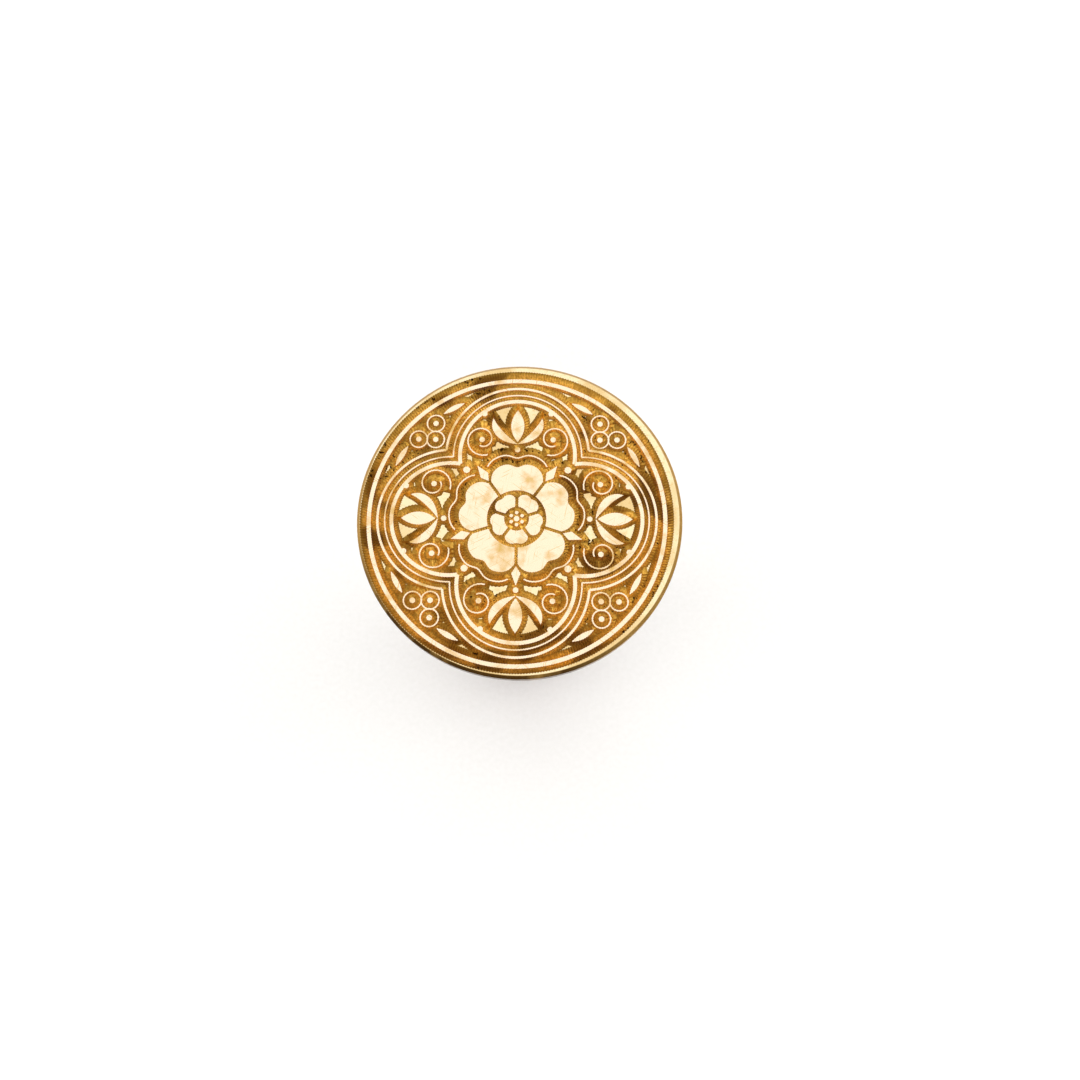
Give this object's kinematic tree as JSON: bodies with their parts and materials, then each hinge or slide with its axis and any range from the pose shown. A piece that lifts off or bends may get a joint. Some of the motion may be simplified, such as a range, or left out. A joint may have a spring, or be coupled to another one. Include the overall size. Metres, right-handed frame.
{
  "type": "wax seal stamp",
  "caption": "Hand seal for wax: a round engraved brass head with a threaded bore screws onto a short turned wooden grip.",
  "frame": {"origin": "middle of the flat end of the grip, which the seal stands on", "axes": "+Z along the seal's axis, from the grip's flat end up to the engraved face; +Y towards the top of the engraving, as it is seen"},
  "size_m": [0.03, 0.03, 0.0556],
  "materials": {
    "engraved_brass": "face polished flat, then engraved with a fine cutter",
    "turned_brass": "turned, lightly polished",
    "steel": "rolled thread, bright zinc",
    "rosewood": "turned and lacquered",
    "fibre": "punched vulcanised fibre"
  },
  "bodies": {
    "handle": {"grip": "rosewood", "ferrule": "turned_brass", "insert": "turned_brass", "stud": "steel"},
    "lifting_washer": {"washer": "fibre"},
    "head": {"seal_head": "engraved_brass"}
  },
  "joints": [
    {"name": "head_lift", "type": "slide", "parent": "handle", "child": "lifting_washer", "axis": [0, 0, 1], "range_m": [0, 0.006]},
    {"name": "head_turn", "type": "hinge", "parent": "lifting_washer", "child": "head", "pos_m": [0, 0, 0.0426], "axis": [0, 0, 1], "range_deg": [0, 2160]}
  ],
  "couplings": [
    {"joint": "head_lift", "follows": "head_turn", "m_per_rad": 0.00015915}
  ]
}
